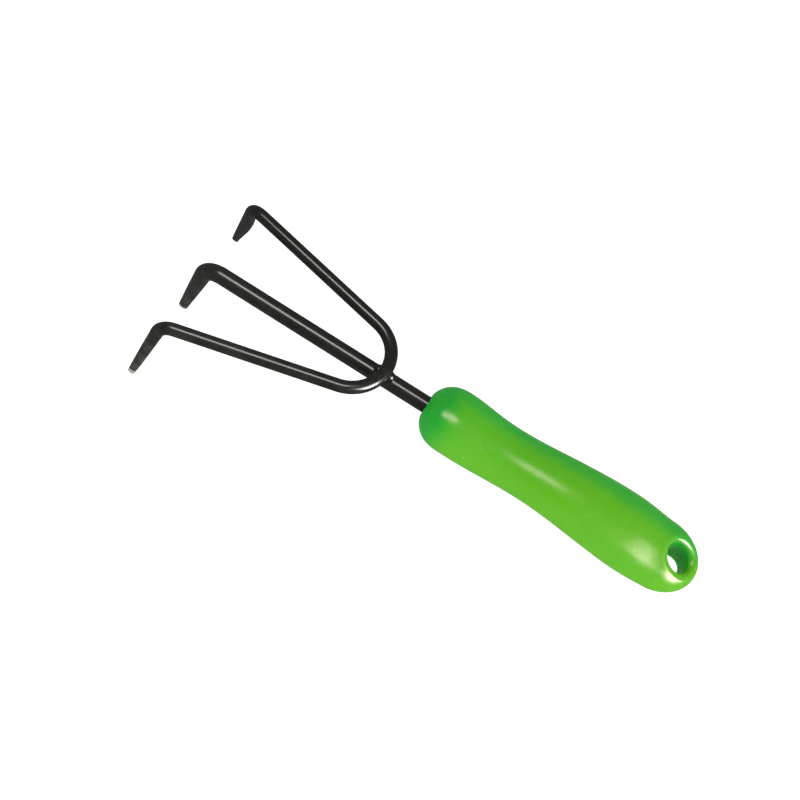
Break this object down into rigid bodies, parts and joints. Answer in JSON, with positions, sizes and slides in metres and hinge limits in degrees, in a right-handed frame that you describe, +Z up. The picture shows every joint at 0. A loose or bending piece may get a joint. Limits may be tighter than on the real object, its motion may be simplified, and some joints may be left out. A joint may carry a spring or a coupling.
{
  "type": "hand cultivator",
  "caption": "Garden hand cultivator: bent, flattened steel tines on a round shaft, set in a waisted moulded plastic handle with a hang hole.",
  "frame": {"origin": "centre of the hang hole through the handle's tail, at the height of the shaft's centreline", "axes": "+X along the shaft from the handle towards the tines, +Y to the tool's left, +Z up along the hang hole's axis, with the tine points hanging down"},
  "size_m": [0.2681, 0.0946, 0.0562],
  "materials": {
    "handle_plastic": "gloss",
    "tine_paint": "satin"
  },
  "bodies": {
    "root": {"handle": "handle_plastic", "centre_tine": "tine_paint", "side_tines": "tine_paint", "front_weld_bead": "tine_paint", "rear_weld_bead": "tine_paint"}
  },
  "joints": []
}
